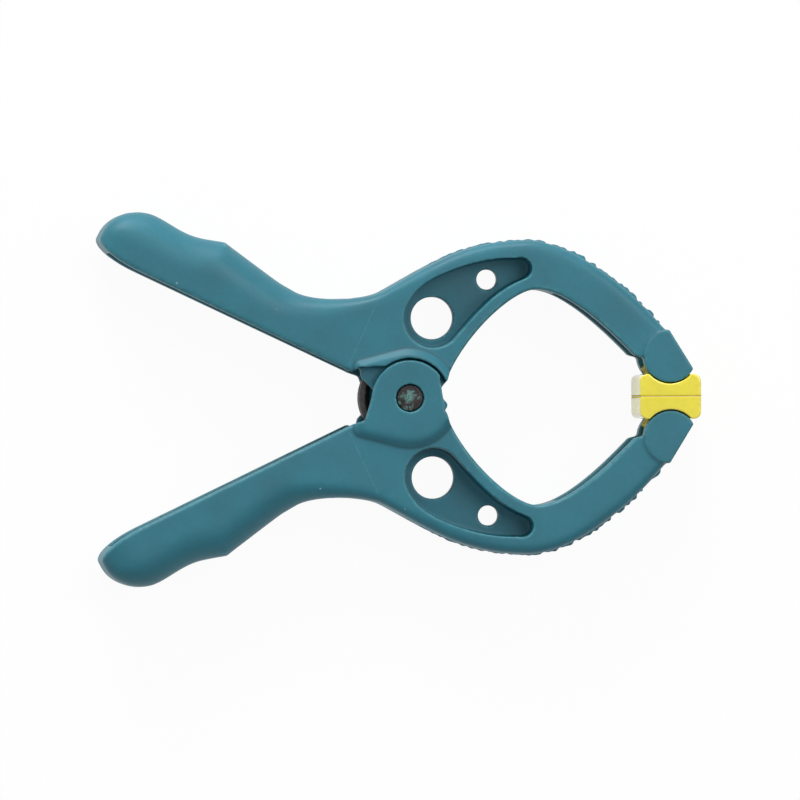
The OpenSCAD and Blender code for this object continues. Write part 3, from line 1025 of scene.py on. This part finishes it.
@dataclass
class PivotPin:
    """The steel pin, with bevelled rims and slightly dished ends."""

    material: bpy.types.Material
    sides: int = 96
    rim: float = 0.5 * MM
    dish: float = 0.07 * MM
    end_lean: float = 0.9
    bevel: float = 0.25 * MM
    bevel_steps: int = 4
    bevel_deg: float = 50.0
    smooth_deg: float = 40.0
    node: str = "pivot_pin"

    def build(self) -> bpy.types.Object:
        """Models the pin in the place of its CAD node.

        Returns:
            The piece.
        """
        low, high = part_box(self.node)
        bpy.ops.object.select_all(action="DESELECT")
        bpy.ops.mesh.primitive_cylinder_add(
            vertices=self.sides,
            radius=(high.x - low.x) / 2,
            depth=high.z - low.z,
            location=(low + high) / 2,
        )
        pin = bpy.context.active_object
        pin.name = self.node + "_turned"
        bpy.ops.object.transform_apply(location=True, rotation=True, scale=True)
        bpy.ops.object.mode_set(mode="EDIT")
        bpy.ops.mesh.select_all(action="DESELECT")
        bpy.ops.object.mode_set(mode="OBJECT")
        for face in pin.data.polygons:
            face.select = abs(face.normal.z) > self.end_lean
        bpy.ops.object.mode_set(mode="EDIT")
        bpy.ops.mesh.select_mode(type="FACE")
        bpy.ops.mesh.inset(thickness=self.rim, depth=0.0)
        bpy.ops.mesh.inset(thickness=self.rim, depth=-self.dish)
        bpy.ops.object.mode_set(mode="OBJECT")
        apply_modifier(
            pin,
            "BEVEL",
            width=self.bevel,
            segments=self.bevel_steps,
            limit_method="ANGLE",
            angle_limit=math.radians(self.bevel_deg),
        )
        pick(pin)
        bpy.ops.object.shade_smooth_by_angle(angle=math.radians(self.smooth_deg))
        pin.data.materials.append(self.material)
        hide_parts(self.node)
        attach(pin, Body.LOWER_LEVER.value)
        return pin


@dataclass
class TorsionSpring:
    """The wound spring, swept as one wire through its legs and coil."""

    material: bpy.types.Material
    pivot: Vector
    wire_r: float = 1.0 * MM
    coil_r: float = 6.6 * MM
    coil_x: float = -1.3 * MM
    turns: int = 2
    leg_turn_deg: float = 64.4
    leg_len: float = 22 * MM
    turn_steps: int = 56
    leg_steps: int = 12
    wire_rounding: int = 5
    smooth_deg: float = 50.0
    node: str = "torsion_spring"

    def coil_half(self) -> float:
        """Gives half the height of the coil's middle line, from the CAD node."""
        low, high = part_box(self.node)
        return (high.z - low.z) / 2 - self.wire_r

    def line(self) -> list[Vector]:
        """Gives the wire's middle line: lower leg, coil and upper leg.

        Returns:
            The points, from one end to the other.
        """
        half = self.coil_half()
        turn = math.radians(self.leg_turn_deg)
        sweep = math.tau * self.turns + 2 * turn
        steps = round(self.turn_steps * sweep / math.tau)
        centre = self.pivot + Vector((self.coil_x, 0, 0))
        coil = []
        for i in range(steps + 1):
            angle = sweep * i / steps - turn
            round_x, round_y = self.coil_r * math.cos(angle), self.coil_r * math.sin(angle)
            coil.append(centre + Vector((round_x, round_y, half * (2 * i / steps - 1))))
        legs = []
        for side, foot in ((-1, coil[0]), (1, coil[-1])):
            way = Vector((-math.sin(turn), side * math.cos(turn), 0))
            step = way * self.leg_len / self.leg_steps
            legs.append([foot + step * i for i in range(1, self.leg_steps + 1)])
        return legs[0][::-1] + coil + legs[1]

    def build(self) -> bpy.types.Object:
        """Sweeps the wire along its line.

        Returns:
            The piece.
        """
        points = self.line()
        curve = bpy.data.curves.new(self.node + "_wire", "CURVE")
        curve.dimensions = "3D"
        curve.bevel_depth, curve.bevel_resolution = self.wire_r, self.wire_rounding
        curve.use_fill_caps = True
        spline = curve.splines.new("POLY")
        spline.points.add(len(points) - 1)
        for target, point in zip(spline.points, points):
            target.co = (*point, 1.0)
        spring = bpy.data.objects.new(self.node + "_wire", curve)
        bpy.context.scene.collection.objects.link(spring)
        pick(spring)
        bpy.ops.object.convert(target="MESH")
        spring = bpy.context.active_object
        bpy.ops.object.mode_set(mode="EDIT")
        bpy.ops.mesh.select_all(action="SELECT")
        bpy.ops.mesh.remove_doubles(threshold=MERGE_NEAR)
        bpy.ops.mesh.normals_make_consistent(inside=False)
        bpy.ops.object.mode_set(mode="OBJECT")
        bpy.ops.object.shade_smooth_by_angle(angle=math.radians(self.smooth_deg))
        spring.data.materials.clear()
        spring.data.materials.append(self.material)
        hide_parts(self.node)
        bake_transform(spring)
        return spring


@dataclass(frozen=True)
class Lamp:
    """A square soft lamp that faces the pivot from a set direction."""

    name: str
    power: float
    size: float
    way: tuple[float, float, float]
    far: float

    def hang(self, target: Vector) -> None:
        """Hangs the lamp.

        Args:
            target: The point that the lamp faces.
        """
        data = bpy.data.lights.new(self.name, "AREA")
        data.energy, data.size = self.power, self.size
        lamp = bpy.data.objects.new(self.name, data)
        bpy.context.scene.collection.objects.link(lamp)
        way = Vector(self.way).normalized()
        lamp.location = target + way * self.far
        lamp.rotation_euler = (-way).to_track_quat("-Z", "Y").to_euler()


@dataclass
class Studio:
    """Pale floor, soft light and the camera of the photograph."""

    photo_px: int = 800
    px_size: float = 0.1825 * MM
    pivot_px: tuple[float, float] = (410.2, 398.0)
    tilt_deg: float = 4.9
    roll_deg: float = 0.35
    camera_far: float = 3.0
    camera_clip: float = 4.0
    sensor_mm: float = 36.0
    floor_half: float = 3.0
    floor_drop: float = 0.02 * MM
    floor_glow: float = 0.95
    floor_colour: Colour = (0.95, 0.95, 0.95)
    floor_rough: float = 0.9
    floor_specular: float = 0.1
    sky: float = 0.40
    sky_lean: tuple[float, float, float] = (-0.5, 0.65, 0.0)
    lamps: tuple[Lamp, ...] = (
        Lamp("rim_lamp", power=6.8, size=0.5, way=(-0.15, 0.92, 0.36), far=0.9),
        Lamp("front_lamp", power=2.8, size=0.5, way=(0.42, 0.28, 0.86), far=0.9),
    )

    def build(self, pivot_front: Vector) -> None:
        """Makes the floor, the world, the lamps and the camera.

        Args:
            pivot_front: Middle of the pivot on the side that faces the camera.
        """
        self.lay_floor()
        self.paint_world()
        for lamp in self.lamps:
            lamp.hang(pivot_front)
        self.aim_camera(pivot_front)
        bpy.context.scene.view_settings.view_transform = "Standard"

    def seen(self, sheet: NodeSheet) -> Socket:
        """Adds the mask of the rays that show a surface by itself or in a gloss.

        Args:
            sheet: The nodes of the floor or the world.

        Returns:
            1 for camera, glossy and transmission rays, otherwise 0.
        """
        rays = sheet.add("ShaderNodeLightPath", {}).outputs
        gloss = sheet.sum_up("MAXIMUM", rays["Is Glossy Ray"], rays["Is Transmission Ray"])
        return sheet.sum_up("MAXIMUM", rays["Is Camera Ray"], gloss)

    def lay_floor(self) -> None:
        """Lays a pale floor that shows white, apart from the clamp's shadow."""
        low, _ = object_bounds()
        bpy.ops.object.select_all(action="DESELECT")
        bpy.ops.mesh.primitive_plane_add(
            size=2 * self.floor_half, location=(0, 0, low.z - self.floor_drop)
        )
        floor = bpy.context.active_object
        floor.name = "floor"
        material, sheet = new_material("floor_paper")
        inputs = {
            "Base Color": rgba(self.floor_colour),
            "Roughness": self.floor_rough,
            "Specular IOR Level": self.floor_specular,
        }
        paper = sheet.add("ShaderNodeBsdfPrincipled", inputs)
        glow = sheet.add("ShaderNodeEmission", {"Color": rgba(WHITE), "Strength": 1.0})
        share = sheet.sum_up("MULTIPLY", self.seen(sheet), self.floor_glow)
        surface = sheet.blend_shaders(share, paper.outputs["BSDF"], glow.outputs["Emission"])
        sheet.add("ShaderNodeOutputMaterial", {"Surface": surface})
        floor.data.materials.append(material)
        floor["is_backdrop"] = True

    def paint_world(self) -> None:
        """Surrounds the clamp with soft light, brighter on one side, which shows as white."""
        world = bpy.data.worlds.new("white_tent")
        bpy.context.scene.world = world
        world.use_nodes = True
        sheet = NodeSheet(world.node_tree)
        way = sheet.add("ShaderNodeTexCoord", {}).outputs["Generated"]
        lean = sheet.vector_sum("DOT_PRODUCT", way, self.sky_lean).outputs["Value"]
        strength = sheet.sum_up("MULTIPLY_ADD", lean, self.sky, self.sky)
        soft = sheet.add("ShaderNodeBackground", {"Color": rgba(WHITE), "Strength": strength})
        white = sheet.add("ShaderNodeBackground", {"Color": rgba(WHITE), "Strength": 1.0})
        surface = sheet.blend_shaders(
            self.seen(sheet), soft.outputs["Background"], white.outputs["Background"]
        )
        sheet.add("ShaderNodeOutputWorld", {"Surface": surface})

    def aim_camera(self, pivot_front: Vector) -> None:
        """Sets the camera so that the pivot lands on its pixel of the photograph.

        Args:
            pivot_front: Middle of the pivot on the side that faces the camera.
        """
        tilt, roll = math.radians(self.tilt_deg), math.radians(self.roll_deg)
        across, up = Vector((math.cos(tilt), 0, math.sin(tilt))), Vector((0, 1, 0))
        back = across.cross(up)
        right = across * math.cos(roll) - up * math.sin(roll)
        top = across * math.sin(roll) + up * math.cos(roll)
        middle = self.photo_px / 2
        shift = right * (middle - self.pivot_px[0]) + top * (self.pivot_px[1] - middle)
        place = pivot_front + shift * self.px_size + back * self.camera_far
        data = bpy.data.cameras.new("camera")
        data.sensor_width = self.sensor_mm
        data.lens = self.sensor_mm * self.camera_far / (self.photo_px * self.px_size)
        data.clip_end = self.camera_clip * self.camera_far
        camera = bpy.data.objects.new("camera", data)
        bpy.context.scene.collection.objects.link(camera)
        turn = Matrix((right, top, back)).transposed()
        camera.matrix_world = Matrix.Translation(place) @ turn.to_4x4()
        bpy.context.scene.camera = camera


YELLOW = MouldedPlastic(
    name="yellow_moulding",
    colour=(0.81, 0.70, 0.030),
    # Rims: partly wear, partly a painted highlight.
    rubbed=(0.82, 0.73, 0.10),
    # Creases: painted shade.
    dull=(0.76, 0.62, 0.03),
    roughness=(0.06, 0.12),
    specular=0.25,
    mottle=0.04,
    dust=0.0,
    grain_depth=0.0015 * MM,
    subsurface=0.15,
    coat=1.0,
)

TEAL = LeverPlastic(
    name="teal_moulding",
    colour=(0.019, 0.148, 0.198),
    # Rims: partly wear, partly a painted highlight.
    rubbed=(0.085, 0.300, 0.340),
    # Creases: painted shade.
    dull=(0.012, 0.075, 0.105),
    roughness=(0.42, 0.54),
    specular=0.38,
    mottle=0.11,
    dust=0.06,
    grain_depth=0.02 * MM,
)

PIN_STEEL = DarkSteel(
    name="pin_steel_smeared",
    dark=(0.018, 0.016, 0.017),
    light=(0.048, 0.043, 0.045),
    roughness=(0.45, 0.65),
    metallic=0.9,
    pit_depth=0.03 * MM,
)
PIN_SPOT_COLOUR: Colour = (0.12, 0.31, 0.28)

SPRING_STEEL = DarkSteel(
    name="spring_oxide",
    dark=(0.030, 0.028, 0.028),
    light=(0.075, 0.069, 0.068),
    roughness=(0.30, 0.42),
    metallic=0.6,
    pit_depth=0.01 * MM,
)


@dataclass
class SpringClamp:
    """The whole clamp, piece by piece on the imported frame."""

    frame: Frame

    def joint_at(self, name: str) -> Vector:
        """Gives the place of a joint's axis."""
        joint = next(j for j in self.frame["joints"] if j["name"] == name)
        return Vector(joint["pos_m"])

    def holes(self) -> list[Vector]:
        """Gives the middles of the holes in the webs."""
        mounts = self.frame["record"]["mounts"]
        return [Vector(mount["pos_m"]) for mount in mounts if mount["kind"] == "bore"]

    def levers(self, material: bpy.types.Material) -> list[Moulding]:
        """Lists the two levers.

        Args:
            material: The levers' plastic.

        Returns:
            The upper lever and the lower one.
        """
        return [
            Lever(
                node=side.name.lower() + "_lever",
                body=Body[side.name + "_LEVER"],
                slot=Slot.LEVER,
                material=material,
                voxel=0.25 * MM,
                skin_rounds=60,
                side=side,
                pivot=self.joint_at("jaw_hinge"),
                trunnion=self.joint_at(side.name.lower() + "_pad_swivel"),
                holes=self.holes(),
            )
            for side in Side
        ]

    def pads(self, material: bpy.types.Material) -> list[Moulding]:
        """Lists the two pads.

        Args:
            material: The pads' plastic.

        Returns:
            The upper pad and the lower one.
        """
        return [
            Pad(
                node=side.name.lower() + "_pad",
                body=Body[side.name + "_PAD"],
                slot=Slot.PAD,
                material=material,
                voxel=0.12 * MM,
                soft_rounds=3,
                wear_reach=0.3 * MM,
            )
            for side in Side
        ]

    def build(self) -> list[bpy.types.Object]:
        """Builds every piece.

        Returns:
            The pieces.
        """
        pivot = self.joint_at("jaw_hinge")
        plastic, steel = MouldedSurface().group(), OiledSteel().group()
        pads = self.pads(YELLOW.material(plastic))
        levers = self.levers(replace(TEAL, pivot=pivot).material(plastic))
        pin_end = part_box("pivot_pin")[1].z
        # A teal spot in the middle of the pin's end, drawn into the steel's colour.
        smear = ColourSpot(PIN_SPOT_COLOUR, at=(pivot.x, pivot.y, pin_end))
        pin_steel = replace(PIN_STEEL, smear=smear)
        pieces = [part.build(self.frame) for part in levers + pads]
        pieces.append(PivotPin(pin_steel.material(steel)).build())
        pieces.append(TorsionSpring(SPRING_STEEL.material(steel), pivot).build())
        return pieces


def corners() -> list[list[float]]:
    """Gives the lowest and highest corner of what shows, as plain lists."""
    return [list(corner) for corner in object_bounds()]


def main() -> None:
    """Loads the frame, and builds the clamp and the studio."""
    logging.basicConfig(level=logging.INFO, format="%(name)s: %(message)s")
    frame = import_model()
    cad_box = corners()
    clamp = SpringClamp(frame)
    for piece in clamp.build():
        LOG.info("%s: %d triangles", piece.name, triangles(piece))
    front = clamp.joint_at("jaw_hinge")
    front.z = cad_box[1][2]
    Studio().build(front)


if __name__ == "__main__":
    main()
